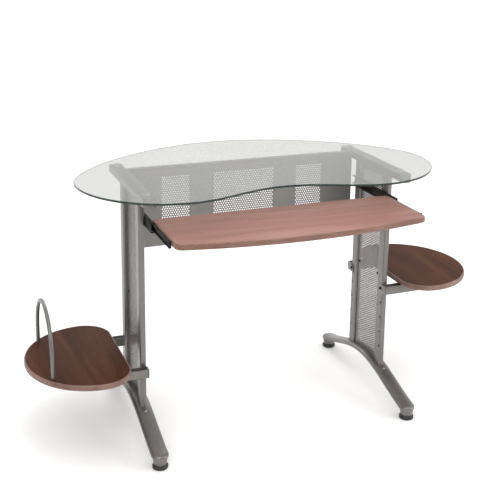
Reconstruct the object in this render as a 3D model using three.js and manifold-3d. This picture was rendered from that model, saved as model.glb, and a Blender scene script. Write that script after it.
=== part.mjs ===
// Glass-topped computer desk with a sliding keyboard tray, a computer shelf with a guard loop on the
// left and a side shelf on the right. Millimetres, +Z up, the user sits at -Y, the floor is z = 0.
// Y is measured from the line midway between the front and rear posts; the last group moves the whole
// desk so that its origin is the floor point under the middle of its outer box.
import * as THREE from "three";
import { mergeVertices } from "three/addons/utils/BufferGeometryUtils.js";
import Module from "manifold-3d";

const wasm = await Module();
wasm.setup();

// ---------------------------------------------------------------- driving dimensions
const GAP = 0.3;                      // clearance between pieces that touch
const SIDES = [["left", -1], ["right", 1]];
const ENDS = [["front", -1], ["rear", 1]];

// Glass top: a kidney outline, symmetric about x = 0.
const GLASS_TOP_Z = 775;
const GLASS_THICKNESS = 6;
const GLASS_HALF_WIDTH = 554;
const GLASS_REAR_Y = 362;
const GLASS_SIDE_Y = -36;             // where the outline is widest
const GLASS_LOBE = { x: 294, y: -303 };
const GLASS_SCOOP_Y = -230;           // front edge at the middle, where the user sits
const GLASS_SHIFT_X = -14;            // the pane lies a little to the left of the leg frames' middle
const GLASS_ROUND = 1.2;
// How far the outline runs along its tangent at each widest or deepest point before it turns.
const GLASS_RUN = { rear: 270, sideRear: 160, sideFront: 147, lobeOuter: 144, lobeInner: 104, scoop: 114 };
const PAD_RADIUS = 13;
const PAD_HEIGHT = 8;
const PAD_Y = 168;

// Leg frames: two oval posts on an arched foot, under a flat top rail.
const LEG_X = 397;                    // middle of each leg frame
const POST_WIDTH = 18;                // along X
const POST_DEPTH = 36;                // along Y
const POST_RADIUS = 5;
const POST_WALL = 1.6;
const POST_OUTER_Y = 107;             // outer faces of the front and rear posts
const RAIL_WIDTH = 38;
const RAIL_HALF_LENGTH = 203;
const RAIL_HEIGHT = 22;
const RAIL_WALL = 3;
const RAIL_CORNER = 8;
const SIDE_PANEL_THICKNESS = 1;
const SIDE_PANEL_X = LEG_X - 3;       // nearer the posts' inner faces
const HOLE_PITCH = 50;                // shelf heights
const LOWEST_HOLE_Z = 165;
const HOLE_COUNT = 5;
const HOLE_RADIUS = 4;
const HOLE_INSET = 8;                 // from the outer face of the post

// Arched foot: an oval tube whose middle line is a raised cosine.
const FOOT_HALF_LENGTH = 292;
const FOOT_END_Z = 30;
const FOOT_RISE = 75;
const FOOT_WAVE = 345;                // half wavelength of the arch
const FOOT_SECTION = { x: 25, z: 9.5 };
const GLIDE_Y = 276;
const GLIDE_RADIUS = 22.7;
const GLIDE_HEIGHT = 13.2;
const STUD_RADIUS = 4;
const STUD_TOP_Z = 23;
const CUP_TOP_Z = 38;

// Modesty panel and the tie rail above it.
const MODESTY_Y = 126;
const MODESTY_HALF_WIDTH = 383;
const MODESTY_BOTTOM_Z = 510;
const SHEET = 1.6;
const CROSS_RAIL = { depth: 20, height: 23, wall: 1.6 };

// Keyboard tray and its slides. The tray stands pulled out, as in use.
const BOARD_THICKNESS = 16;
const TRAY_TOP_Z = 684;
const TRAY_HALF_WIDTH = 374.5;
const TRAY_REAR_Y = -132;
const TRAY_FRONT_Y = -409;            // at the middle of the bowed front edge
const TRAY_CORNER_Y = -366;
const TRAY_CORNER_RADIUS = 18;
const TRAY_REAR_RADIUS = 12;
const SLIDE_HEIGHT = 27;
const SLIDE_LENGTH = 280;
const SLIDE_SHEET = 1.5;
const SLIDE_FRONT_Y = -174;           // front end of the fixed member
const TRAY_TRAVEL = 148;

// Shelf boards and their arms.
const SHELF_INNER_X = 440;
const SHELF_INNER_HALF = 124;         // half length of the straight edge beside the leg
const SHELF_CURVE = { x: 527, rx: 193, ry: 210 };
const ARM_WIDTH = 22;
const ARM_HEIGHT = 28;
const ARM_WALL = 2;
const ARM_END_X = 600;
const EAR_THICKNESS = 2.5;
const GUARD_X = 661;
const GUARD_Y = 126;                  // the loop's legs, and the radius of its arch
const GUARD_SEAT = 4;                 // board left under each leg of the loop
const GUARD_TUBE_RADIUS = 6;
const GUARD_TOP_Z = 423;
const SHELF_HOLE = { left: 1, right: 4 };   // which row of post holes carries each shelf
const BOARD_ROUND = 2;

// Fasteners.
const FOOT_BOLT = { headRadius: 5, headHeight: 3, shankRadius: 3, shankLength: 9 };
const SHELF_BOLT = { headRadius: 5, headHeight: 3.4, shankRadius: 3, shankLength: 17 };
const PANEL_SCREW = { headRadius: 4, headHeight: 2.4, shankRadius: 2, shankLength: 6 };
const PANEL_SCREW_Y = 60.5;
const PANEL_SCREW_Z = 402;
const BOLT_CLEARANCE = 0.5;

// ---------------------------------------------------------------- finishes
function finish(color, roughness, metalness) {
  return new THREE.MeshStandardMaterial({ color, roughness, metalness });
}
const PAINT = finish(0x77726c, 0.5, 0.35);
const STEEL = finish(0x8d8a86, 0.35, 0.9);
const BLACK_STEEL = finish(0x1c1b1c, 0.4, 0.6);
const BLACK_PLASTIC = finish(0x232322, 0.6, 0);
const CLEAR_RUBBER = finish(0xd9d8d2, 0.5, 0);
const GLASS = finish(0xa9c4b8, 0.05, 0);
const TRAY_WOOD = finish(0xa3786c, 0.45, 0);
const SHELF_WOOD = finish(0x7a4838, 0.45, 0);

// ---------------------------------------------------------------- geometry helpers
function solid(geometry) {
  const bare = geometry.clone();
  bare.deleteAttribute("normal");
  bare.deleteAttribute("uv");
  const welded = mergeVertices(bare, 1e-4);
  return new wasm.Manifold(new wasm.Mesh({
    numProp: 3,
    vertProperties: new Float32Array(welded.attributes.position.array),
    triVerts: new Uint32Array(welded.index.array),
  }));
}

function surface(body) {
  const mesh = body.getMesh();
  const geometry = new THREE.BufferGeometry();
  geometry.setAttribute("position", new THREE.BufferAttribute(mesh.vertProperties, 3));
  geometry.setIndex(new THREE.BufferAttribute(mesh.triVerts, 1));
  geometry.computeVertexNormals();
  return geometry;
}

// A box from its lowest to its highest corner.
function block(low, high) {
  const size = high.map((value, axis) => value - low[axis]);
  const geometry = new THREE.BoxGeometry(...size);
  return geometry.translate(...low.map((value, axis) => value + size[axis] / 2));
}

function mirrorX(geometry) {
  const source = geometry.index ? geometry : mergeVertices(geometry);
  const copy = source.clone().scale(-1, 1, 1);
  const index = copy.index.array;
  for (let corner = 0; corner < index.length; corner += 3) {
    const first = index[corner];
    index[corner] = index[corner + 1];
    index[corner + 1] = first;
  }
  copy.computeVertexNormals();
  return copy;
}

function forSide(sign, geometry) {
  return sign < 0 ? mirrorX(geometry) : geometry;
}

// A rectangle with rounded corners, centred on (x, y).
function roundedRectangle(x, y, width, height, radius, Type = THREE.Shape) {
  const right = x + width / 2;
  const left = x - width / 2;
  const top = y + height / 2;
  const bottom = y - height / 2;
  const path = new Type();
  path.moveTo(left + radius, bottom);
  path.lineTo(right - radius, bottom);
  path.absarc(right - radius, bottom + radius, radius, -Math.PI / 2, 0);
  path.lineTo(right, top - radius);
  path.absarc(right - radius, top - radius, radius, 0, Math.PI / 2);
  path.lineTo(left + radius, top);
  path.absarc(left + radius, top - radius, radius, Math.PI / 2, Math.PI);
  path.lineTo(left, bottom + radius);
  path.absarc(left + radius, bottom + radius, radius, Math.PI, Math.PI * 1.5);
  return path;
}

function extrudeUp(shape, low, high, curveSegments = 6) {
  const depth = high - low;
  const geometry = new THREE.ExtrudeGeometry(shape, { depth, bevelEnabled: false, curveSegments });
  return geometry.translate(0, 0, low);
}

// A flat board or pane whose edges are rounded by `round`, with the outline as its widest line.
function roundEdged(shape, low, thickness, round, curveSegments) {
  const geometry = new THREE.ExtrudeGeometry(shape, {
    depth: thickness - 2 * round,
    bevelEnabled: true,
    bevelThickness: round,
    bevelSize: round,
    bevelOffset: -round,
    bevelSegments: 1,
    curveSegments,
  });
  return geometry.translate(0, 0, low + round);
}

// A section drawn in X and Z, extruded along Y from one y to another.
function extrudeAlongY(points, fromY, toY) {
  const shape = new THREE.Shape(points.map(([x, z]) => new THREE.Vector2(x, z)));
  const geometry = new THREE.ExtrudeGeometry(shape, { depth: toY - fromY, bevelEnabled: false });
  return geometry.rotateX(Math.PI / 2).translate(0, toY, 0);
}

function uprightCylinder(radius, low, high, sides = 18) {
  const geometry = new THREE.CylinderGeometry(radius, radius, high - low, sides);
  return geometry.rotateX(Math.PI / 2).translate(0, 0, (low + high) / 2);
}

// A turned piece about Z, from [radius, z] points that start and end on the axis.
function turned(profile, sides = 20) {
  const points = profile.map(([radius, z]) => new THREE.Vector2(radius, z));
  return new THREE.LatheGeometry(points, sides).rotateX(Math.PI / 2);
}

// A button-head bolt about Z: the head's underside is at z = 0 and the shank goes down.
function bolt({ headRadius, headHeight, shankRadius, shankLength }) {
  const shoulder = headRadius * 0.78;
  return turned([
    [0, -shankLength],
    [shankRadius, -shankLength],
    [shankRadius, 0],
    [headRadius, 0],
    [headRadius, headHeight * 0.35],
    [shoulder, headHeight],
    [0, headHeight],
  ], 12);
}

const desk = new THREE.Group();
const frame = new THREE.Group();
const tray = new THREE.Group();
desk.add(frame, tray);

function add(group, name, geometry, material) {
  const mesh = new THREE.Mesh(geometry, material);
  mesh.name = name;
  group.add(mesh);
  return mesh;
}

// ---------------------------------------------------------------- glass top
function kidneyOutline() {
  const shape = new THREE.Shape();
  const { x: lobeX, y: lobeY } = GLASS_LOBE;
  const run = GLASS_RUN;
  const halfOutline = (side) => {
    const sideX = side * GLASS_HALF_WIDTH;
    return [
      [side * run.rear, GLASS_REAR_Y, sideX, GLASS_SIDE_Y + run.sideRear, sideX, GLASS_SIDE_Y],
      [sideX, GLASS_SIDE_Y - run.sideFront, side * (lobeX + run.lobeOuter), lobeY, side * lobeX, lobeY],
      [side * (lobeX - run.lobeInner), lobeY, side * run.scoop, GLASS_SCOOP_Y, 0, GLASS_SCOOP_Y],
    ];
  };
  const curves = [...halfOutline(-1), ...reversed(halfOutline(1), [0, GLASS_REAR_Y])];
  shape.moveTo(0, GLASS_REAR_Y);
  for (const curve of curves) {
    shape.bezierCurveTo(...curve);
  }
  return shape;
}

// The same run of Bezier curves travelled from its end back to its start.
function reversed(curves, start) {
  const starts = [start, ...curves.map((curve) => curve.slice(4))];
  return curves.map(([ax, ay, bx, by], place) => [bx, by, ax, ay, ...starts[place]]).reverse();
}

const glassBottomZ = GLASS_TOP_Z - GLASS_THICKNESS;
const railTopZ = glassBottomZ - PAD_HEIGHT;
add(frame, "glass_top", roundEdged(kidneyOutline(), glassBottomZ, GLASS_THICKNESS, GLASS_ROUND, 12), GLASS)
  .position.x = GLASS_SHIFT_X;

// ---------------------------------------------------------------- arched feet
class FootLine extends THREE.Curve {
  getPoint(t, target = new THREE.Vector3()) {
    const y = (2 * t - 1) * FOOT_HALF_LENGTH;
    const lift = (1 + Math.cos((Math.PI * y) / FOOT_WAVE)) / 2;
    return target.set(0, y, FOOT_END_Z + FOOT_RISE * lift);
  }
}

function footBeam(clearance) {
  const section = new THREE.Shape();
  section.absellipse(0, 0, FOOT_SECTION.x + clearance, FOOT_SECTION.z + clearance, 0, Math.PI * 2);
  return new THREE.ExtrudeGeometry(section, {
    steps: 22,
    curveSegments: 8,
    bevelEnabled: false,
    extrudePath: new FootLine(),
  });
}

const footHeight = (y) => FOOT_END_Z + (FOOT_RISE * (1 + Math.cos((Math.PI * y) / FOOT_WAVE))) / 2;
const footFall = (y) => ((FOOT_RISE * Math.PI) / (2 * FOOT_WAVE)) * Math.sin((Math.PI * y) / FOOT_WAVE);
const footBoltY = POST_OUTER_Y + 13;
const footBoltTilt = Math.atan(footFall(footBoltY));
const footEnvelope = solid(footBeam(GAP));

function foot() {
  let body = solid(footBeam(0));
  for (const [, end] of ENDS) {
    const reach = 3 * FOOT_SECTION.z;
    const hole = uprightCylinder(FOOT_BOLT.shankRadius + BOLT_CLEARANCE, -reach, reach, 10);
    hole.rotateX(-end * footBoltTilt).translate(0, end * footBoltY, footHeight(footBoltY));
    body = body.subtract(solid(hole));
  }
  return surface(body);
}

function footCup(end) {
  const wall = solid(turned([
    [0, GLIDE_HEIGHT + GAP],
    [19.4, GLIDE_HEIGHT + GAP],
    [20.2, GLIDE_HEIGHT + 6],
    [21.6, CUP_TOP_Z],
    [0, CUP_TOP_Z],
  ]).translate(0, end * GLIDE_Y, 0));
  const bore = solid(uprightCylinder(STUD_RADIUS + BOLT_CLEARANCE, 0, STUD_TOP_Z + 1, 14)
    .translate(0, end * GLIDE_Y, 0));
  return surface(wall.subtract(bore).subtract(footEnvelope));
}

function glide() {
  return turned([
    [0, 0],
    [GLIDE_RADIUS - 3, 0],
    [GLIDE_RADIUS, 3],
    [GLIDE_RADIUS, GLIDE_HEIGHT - 3],
    [GLIDE_RADIUS - 3, GLIDE_HEIGHT],
    [STUD_RADIUS, GLIDE_HEIGHT],
    [STUD_RADIUS, STUD_TOP_Z],
    [0, STUD_TOP_Z],
  ]);
}

for (const [side, sign] of SIDES) {
  const base = new THREE.Group();
  base.position.x = sign * LEG_X;
  frame.add(base);
  add(base, `foot_${side}`, foot(), PAINT);
  for (const [place, end] of ENDS) {
    add(base, `foot_cup_${side}_${place}`, footCup(end), PAINT);
    add(base, `leveling_glide_${side}_${place}`, glide(), BLACK_PLASTIC).position.y = end * GLIDE_Y;
    const fixing = add(base, `foot_bolt_${side}_${place}`, bolt(FOOT_BOLT), STEEL);
    const seat = FOOT_SECTION.z + GAP;
    fixing.rotation.x = -end * footBoltTilt;
    fixing.position.set(0, end * (footBoltY + seat * Math.sin(footBoltTilt)),
      footHeight(footBoltY) + seat * Math.cos(footBoltTilt));
  }
}

// ---------------------------------------------------------------- leg frames
const legInnerX = LEG_X - POST_WIDTH / 2;
const postMiddleY = POST_OUTER_Y - POST_DEPTH / 2;
const postInnerY = POST_OUTER_Y - POST_DEPTH;
const postTopZ = railTopZ - RAIL_WALL - GAP;
const postFootZ = footHeight(POST_OUTER_Y) + 2;
const shelfHoles = Array.from({ length: HOLE_COUNT }, (_, row) => LOWEST_HOLE_Z + row * HOLE_PITCH);
const holeY = POST_OUTER_Y - HOLE_INSET;

// A post, with the shelf holes in its inner face. The right-hand one is drawn; the left is mirrored.
function post(end) {
  const middle = end * postMiddleY;
  const profile = roundedRectangle(LEG_X, middle, POST_WIDTH, POST_DEPTH, POST_RADIUS);
  const bore = roundedRectangle(LEG_X, middle, POST_WIDTH - 2 * POST_WALL, POST_DEPTH - 2 * POST_WALL,
    POST_RADIUS - POST_WALL, THREE.Path);
  profile.holes.push(bore);
  let body = solid(extrudeUp(profile, postFootZ, postTopZ, 3));
  for (const z of shelfHoles) {
    const drill = new THREE.CylinderGeometry(HOLE_RADIUS, HOLE_RADIUS, POST_WIDTH / 2, 8);
    drill.rotateZ(Math.PI / 2).translate(legInnerX, end * holeY, z);
    body = body.subtract(solid(drill));
  }
  const standing = footEnvelope.translate([LEG_X, 0, 0]);
  return surface(body.subtract(standing));
}

function topRail() {
  const outline = roundedRectangle(LEG_X, 0, RAIL_WIDTH, 2 * RAIL_HALF_LENGTH, RAIL_CORNER);
  const pocket = roundedRectangle(LEG_X, 0, RAIL_WIDTH - 2 * RAIL_WALL, 2 * (RAIL_HALF_LENGTH - RAIL_WALL),
    RAIL_CORNER - RAIL_WALL);
  const bar = solid(extrudeUp(outline, railTopZ - RAIL_HEIGHT, railTopZ, 4));
  return surface(bar.subtract(solid(extrudeUp(pocket, railTopZ - RAIL_HEIGHT - 5, railTopZ - RAIL_WALL, 4))));
}

function sidePanel() {
  const halfThickness = SIDE_PANEL_THICKNESS / 2;
  const edge = postInnerY - GAP;
  const bottomZ = footHeight(0);
  const faces = [SIDE_PANEL_X - halfThickness, SIDE_PANEL_X + halfThickness];
  let body = solid(block([faces[0], -edge, bottomZ], [faces[1], edge, postTopZ]));
  for (const end of [-1, 1]) {
    const radius = PANEL_SCREW.shankRadius + BOLT_CLEARANCE;
    const drill = new THREE.CylinderGeometry(radius, radius, 10, 12);
    drill.rotateZ(Math.PI / 2).translate(SIDE_PANEL_X, end * PANEL_SCREW_Y, PANEL_SCREW_Z);
    body = body.subtract(solid(drill));
  }
  return surface(body.subtract(footEnvelope.translate([LEG_X, 0, 0])));
}

for (const [side, sign] of SIDES) {
  add(frame, `top_rail_${side}`, forSide(sign, topRail()), PAINT);
  add(frame, `side_panel_${side}`, forSide(sign, sidePanel()), PAINT);
  for (const [place, end] of ENDS) {
    add(frame, `post_${side}_${place}`, forSide(sign, post(end)), PAINT);
    const pad = add(frame, `glass_pad_${side}_${place}`, uprightCylinder(PAD_RADIUS, GAP, PAD_HEIGHT - GAP),
      CLEAR_RUBBER);
    pad.position.set(sign * LEG_X, end * PAD_Y, railTopZ);
    const screw = add(frame, `side_panel_screw_${side}_${place}`, bolt(PANEL_SCREW), BLACK_STEEL);
    screw.rotation.y = (-sign * Math.PI) / 2;
    const faceX = SIDE_PANEL_X - SIDE_PANEL_THICKNESS / 2 - GAP;
    screw.position.set(sign * faceX, end * PANEL_SCREW_Y, PANEL_SCREW_Z);
  }
}

// ---------------------------------------------------------------- modesty panel and tie rail
const crossRailEnd = LEG_X - RAIL_WIDTH / 2 - GAP;
const crossRailBottomZ = railTopZ - CROSS_RAIL.height;
const crossRailMiddleY = MODESTY_Y + CROSS_RAIL.depth / 2 - 8;

function crossRail() {
  const { depth, height, wall } = CROSS_RAIL;
  const outer = block([-crossRailEnd, crossRailMiddleY - depth / 2, crossRailBottomZ],
    [crossRailEnd, crossRailMiddleY + depth / 2, railTopZ]);
  const bore = block([-crossRailEnd - 5, crossRailMiddleY - depth / 2 + wall, railTopZ - height + wall],
    [crossRailEnd + 5, crossRailMiddleY + depth / 2 - wall, railTopZ - wall]);
  return surface(solid(outer).subtract(solid(bore)));
}

// A sheet with its top and bottom edges folded back.
function modestyPanel() {
  const fold = 12;
  const top = crossRailBottomZ - GAP;
  const bottom = MODESTY_BOTTOM_Z;
  const front = MODESTY_Y;
  const section = [
    [front, bottom], [front + fold, bottom], [front + fold, bottom + SHEET], [front + SHEET, bottom + SHEET],
    [front + SHEET, top - SHEET], [front + fold, top - SHEET], [front + fold, top], [front, top],
  ];
  const shape = new THREE.Shape(section.map(([y, z]) => new THREE.Vector2(y, z)));
  const sheet = new THREE.ExtrudeGeometry(shape, { depth: 2 * MODESTY_HALF_WIDTH, bevelEnabled: false });
  const axes = new THREE.Matrix4().makeBasis(
    new THREE.Vector3(0, 1, 0), new THREE.Vector3(0, 0, 1), new THREE.Vector3(1, 0, 0));
  return sheet.applyMatrix4(axes).translate(-MODESTY_HALF_WIDTH, 0, 0);
}

// An angle from the inner face of a rear post to the front of the modesty panel.
function modestyBracket() {
  const plate = 2.5;
  const outerX = legInnerX - GAP;
  const rearY = MODESTY_Y - GAP;
  const low = MODESTY_BOTTOM_Z + 24;
  const high = low + 30;
  const onPost = block([outerX - plate, postInnerY + 4, low], [outerX, rearY, high]);
  const onPanel = block([outerX - 30, rearY - plate, low], [outerX - plate / 2, rearY, high]);
  return surface(solid(onPost).add(solid(onPanel)));
}

add(frame, "rear_cross_rail", crossRail(), PAINT);
add(frame, "modesty_panel", modestyPanel(), PAINT);
for (const [side, sign] of SIDES) {
  add(frame, `modesty_bracket_${side}`, forSide(sign, modestyBracket()), PAINT);
}

// ---------------------------------------------------------------- keyboard tray on its slides
function trayOutline() {
  const shape = new THREE.Shape();
  const sagitta = TRAY_CORNER_Y - TRAY_FRONT_Y;
  const radius = (TRAY_HALF_WIDTH ** 2 + sagitta ** 2) / (2 * sagitta);
  const centreY = TRAY_FRONT_Y + radius;
  const cut = TRAY_HALF_WIDTH - TRAY_CORNER_RADIUS;
  const bowY = centreY - Math.sqrt(radius ** 2 - cut ** 2);
  const sideY = TRAY_CORNER_Y + TRAY_CORNER_RADIUS;
  const lean = Math.asin(cut / radius);
  const small = TRAY_REAR_RADIUS;
  const run = 0.55 * TRAY_CORNER_RADIUS;
  const rise = 2;
  shape.moveTo(-cut, bowY);
  shape.absarc(0, centreY, radius, -Math.PI / 2 - lean, -Math.PI / 2 + lean);
  shape.bezierCurveTo(cut + run, bowY + rise, TRAY_HALF_WIDTH, sideY - run, TRAY_HALF_WIDTH, sideY);
  shape.lineTo(TRAY_HALF_WIDTH, TRAY_REAR_Y - small);
  shape.absarc(TRAY_HALF_WIDTH - small, TRAY_REAR_Y - small, small, 0, Math.PI / 2);
  shape.lineTo(-TRAY_HALF_WIDTH + small, TRAY_REAR_Y);
  shape.absarc(-TRAY_HALF_WIDTH + small, TRAY_REAR_Y - small, small, Math.PI / 2, Math.PI);
  shape.lineTo(-TRAY_HALF_WIDTH, sideY);
  shape.bezierCurveTo(-TRAY_HALF_WIDTH, sideY - run, -cut - run, bowY + rise, -cut, bowY);
  return shape;
}

const slideMiddleZ = TRAY_TOP_Z - SLIDE_HEIGHT / 2;
const slideOuterX = legInnerX - GAP;
const slideInnerX = TRAY_HALF_WIDTH + GAP;

// The channel screwed to the leg, open towards the tray.
function fixedMember() {
  const half = SLIDE_HEIGHT / 2;
  const mouth = slideInnerX + 1.4;
  const lip = 2.6;
  const sheet = SLIDE_SHEET;
  const section = [
    [slideOuterX, -half], [slideOuterX, half], [mouth, half],
    [mouth, half - lip], [mouth + sheet, half - lip],
    [mouth + sheet, half - sheet], [slideOuterX - sheet, half - sheet], [slideOuterX - sheet, -half + sheet],
    [mouth + sheet, -half + sheet], [mouth + sheet, -half + lip], [mouth, -half + lip], [mouth, -half],
  ];
  return extrudeAlongY(section, SLIDE_FRONT_Y, SLIDE_FRONT_Y + SLIDE_LENGTH).translate(0, 0, slideMiddleZ);
}

// The narrower channel screwed to the tray's side, open towards the leg.
function movingMember() {
  const half = 9;
  const depth = slideInnerX + 7;
  const sheet = SLIDE_SHEET;
  const section = [
    [slideInnerX, -half], [depth, -half], [depth, -half + sheet], [slideInnerX + sheet, -half + sheet],
    [slideInnerX + sheet, half - sheet], [depth, half - sheet], [depth, half], [slideInnerX, half],
  ];
  const front = SLIDE_FRONT_Y - TRAY_TRAVEL;
  return extrudeAlongY(section, front, front + SLIDE_LENGTH).translate(0, 0, slideMiddleZ);
}

// The ball cage that runs between the two members, at half the tray's travel.
function ballCage() {
  const outerHalf = 11.5;
  const innerHalf = 9.4;
  const back = slideOuterX - SLIDE_SHEET - 0.5;
  const web = 0.8;
  const mouth = slideInnerX + 3.4;
  const section = [
    [back, -outerHalf], [back, outerHalf], [mouth, outerHalf], [mouth, innerHalf], [back - web, innerHalf],
    [back - web, -innerHalf], [mouth, -innerHalf], [mouth, -outerHalf],
  ];
  return extrudeAlongY(section, SLIDE_FRONT_Y + 6, SLIDE_FRONT_Y + 124).translate(0, 0, slideMiddleZ);
}

const trayBottomZ = TRAY_TOP_Z - BOARD_THICKNESS;
add(tray, "tray_board", roundEdged(trayOutline(), trayBottomZ, BOARD_THICKNESS, BOARD_ROUND, 7), TRAY_WOOD);
for (const [side, sign] of SIDES) {
  add(frame, `slide_fixed_${side}`, forSide(sign, fixedMember()), BLACK_STEEL);
  add(tray, `slide_moving_${side}`, forSide(sign, movingMember()), BLACK_STEEL);
  add(frame, `slide_ball_cage_${side}`, forSide(sign, ballCage()), STEEL);
}

// ---------------------------------------------------------------- shelves
function shelfOutline() {
  const { x, rx, ry } = SHELF_CURVE;
  const shape = new THREE.Shape();
  shape.moveTo(SHELF_INNER_X, SHELF_INNER_HALF);
  shape.lineTo(SHELF_INNER_X, -SHELF_INNER_HALF);
  shape.bezierCurveTo(SHELF_INNER_X, -SHELF_INNER_HALF - 41, x - 52, -ry, x, -ry);
  shape.absellipse(x, 0, rx, ry, -Math.PI / 2, Math.PI / 2);
  shape.bezierCurveTo(x - 52, ry, SHELF_INNER_X, SHELF_INNER_HALF + 41, SHELF_INNER_X, SHELF_INNER_HALF);
  return shape;
}

const armY = POST_OUTER_Y + GAP + ARM_WIDTH / 2;

// An open-topped channel beside the post's narrow face, with an ear bolted to the post's inner face.
// It ends under the board.
function shelfArm(end, middleZ) {
  const bottom = middleZ - ARM_HEIGHT / 2;
  const top = middleZ + ARM_HEIGHT / 2;
  const nearY = end * (armY - ARM_WIDTH / 2);
  const farY = end * (armY + ARM_WIDTH / 2);
  const earInnerX = legInnerX - GAP - EAR_THICKNESS;
  const span = (a, b) => [Math.min(a, b), Math.max(a, b)];
  const [lowY, highY] = span(nearY, farY);
  const channel = solid(block([earInnerX, lowY, bottom], [ARM_END_X, highY, top]));
  const hollow = solid(block([earInnerX + EAR_THICKNESS, lowY + ARM_WALL, bottom + ARM_WALL],
    [ARM_END_X - ARM_WALL, highY - ARM_WALL, top + 5]));
  const [earLow, earHigh] = span(end * (holeY - 9), nearY + end);
  const ear = solid(block([earInnerX, earLow, bottom], [earInnerX + EAR_THICKNESS, earHigh, top]));
  const drill = new THREE.CylinderGeometry(HOLE_RADIUS, HOLE_RADIUS, 12, 14);
  drill.rotateZ(Math.PI / 2).translate(earInnerX, end * holeY, middleZ);
  return surface(channel.subtract(hollow).add(ear).subtract(solid(drill)));
}

class GuardLine extends THREE.Curve {
  constructor(footZ) {
    super();
    this.footZ = footZ;
  }

  getPoint(t, target = new THREE.Vector3()) {
    const straight = GUARD_TOP_Z - GUARD_Y - this.footZ;
    const bend = Math.PI * GUARD_Y;
    const travelled = t * (2 * straight + bend);
    if (travelled < straight) {
      return target.set(0, -GUARD_Y, this.footZ + travelled);
    }
    if (travelled > straight + bend) {
      return target.set(0, GUARD_Y, this.footZ + 2 * straight + bend - travelled);
    }
    const angle = (travelled - straight) / GUARD_Y;
    return target.set(0, -GUARD_Y * Math.cos(angle), GUARD_TOP_Z - GUARD_Y + GUARD_Y * Math.sin(angle));
  }
}

function guardLoop(footZ) {
  const section = new THREE.Shape();
  section.absarc(0, 0, GUARD_TUBE_RADIUS, 0, Math.PI * 2);
  return new THREE.ExtrudeGeometry(section, {
    steps: 30,
    curveSegments: 5,
    bevelEnabled: false,
    extrudePath: new GuardLine(footZ),
  }).translate(-GUARD_X, 0, 0);
}

const shelfNames = { left: "cpu_shelf", right: "side_shelf" };
for (const [side, sign] of SIDES) {
  const middleZ = shelfHoles[SHELF_HOLE[side]];
  const boardZ = middleZ + ARM_HEIGHT / 2 + GAP;
  const seatZ = boardZ + GUARD_SEAT;
  let board = solid(roundEdged(shelfOutline(), boardZ, BOARD_THICKNESS, BOARD_ROUND, 10));
  if (side === "left") {
    for (const [, end] of ENDS) {
      const socket = uprightCylinder(GUARD_TUBE_RADIUS + GAP, seatZ, boardZ + BOARD_THICKNESS + 5);
      board = board.subtract(solid(socket.translate(GUARD_X, end * GUARD_Y, 0)));
    }
    add(frame, "cpu_guard_loop", guardLoop(seatZ + GAP), PAINT);
  }
  add(frame, `${shelfNames[side]}_board`, forSide(sign, surface(board)), SHELF_WOOD);
  for (const [place, end] of ENDS) {
    add(frame, `${shelfNames[side]}_arm_${place}`, forSide(sign, shelfArm(end, middleZ)), PAINT);
    const fixing = add(frame, `${shelfNames[side]}_bolt_${place}`, bolt(SHELF_BOLT), BLACK_STEEL);
    fixing.rotation.y = (-sign * Math.PI) / 2;
    fixing.position.set(sign * (legInnerX - 2 * GAP - EAR_THICKNESS), end * holeY, middleZ);
  }
}

// ---------------------------------------------------------------- origin
// The outer box runs from the tray's front edge to the rear of the glass.
desk.position.y = -(TRAY_FRONT_Y + GLASS_REAR_Y) / 2;

export default desk;
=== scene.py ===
# Looks for the glass-topped computer desk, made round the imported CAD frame.
# Metres, +Z up, the user sits at -Y. Sizes are named in millimetres and places come from the frame.
import bmesh
import bpy
import math
from mathutils import Matrix, Vector


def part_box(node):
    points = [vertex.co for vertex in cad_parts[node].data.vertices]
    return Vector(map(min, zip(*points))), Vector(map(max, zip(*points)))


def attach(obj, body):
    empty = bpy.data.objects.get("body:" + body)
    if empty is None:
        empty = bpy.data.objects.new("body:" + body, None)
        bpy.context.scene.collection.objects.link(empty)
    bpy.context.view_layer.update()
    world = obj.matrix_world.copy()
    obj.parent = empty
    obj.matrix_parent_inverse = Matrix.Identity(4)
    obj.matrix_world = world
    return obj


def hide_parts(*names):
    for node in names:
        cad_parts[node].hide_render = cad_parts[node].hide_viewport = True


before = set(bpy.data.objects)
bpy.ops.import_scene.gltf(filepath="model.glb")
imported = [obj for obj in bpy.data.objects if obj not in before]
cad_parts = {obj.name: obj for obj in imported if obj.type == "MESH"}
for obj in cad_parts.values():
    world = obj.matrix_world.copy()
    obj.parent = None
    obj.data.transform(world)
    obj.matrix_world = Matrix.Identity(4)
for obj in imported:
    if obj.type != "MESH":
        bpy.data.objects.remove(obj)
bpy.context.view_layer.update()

MM = 0.001
SIDES = (("left", -1), ("right", 1))
ENDS = (("front", -1), ("rear", 1))
CORNERS = [(side, sign, end, along) for side, sign in SIDES for end, along in ENDS]
FRAME = "desk_frame"
TRAY = "tray"
CAGES = "ball_cages"


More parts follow.
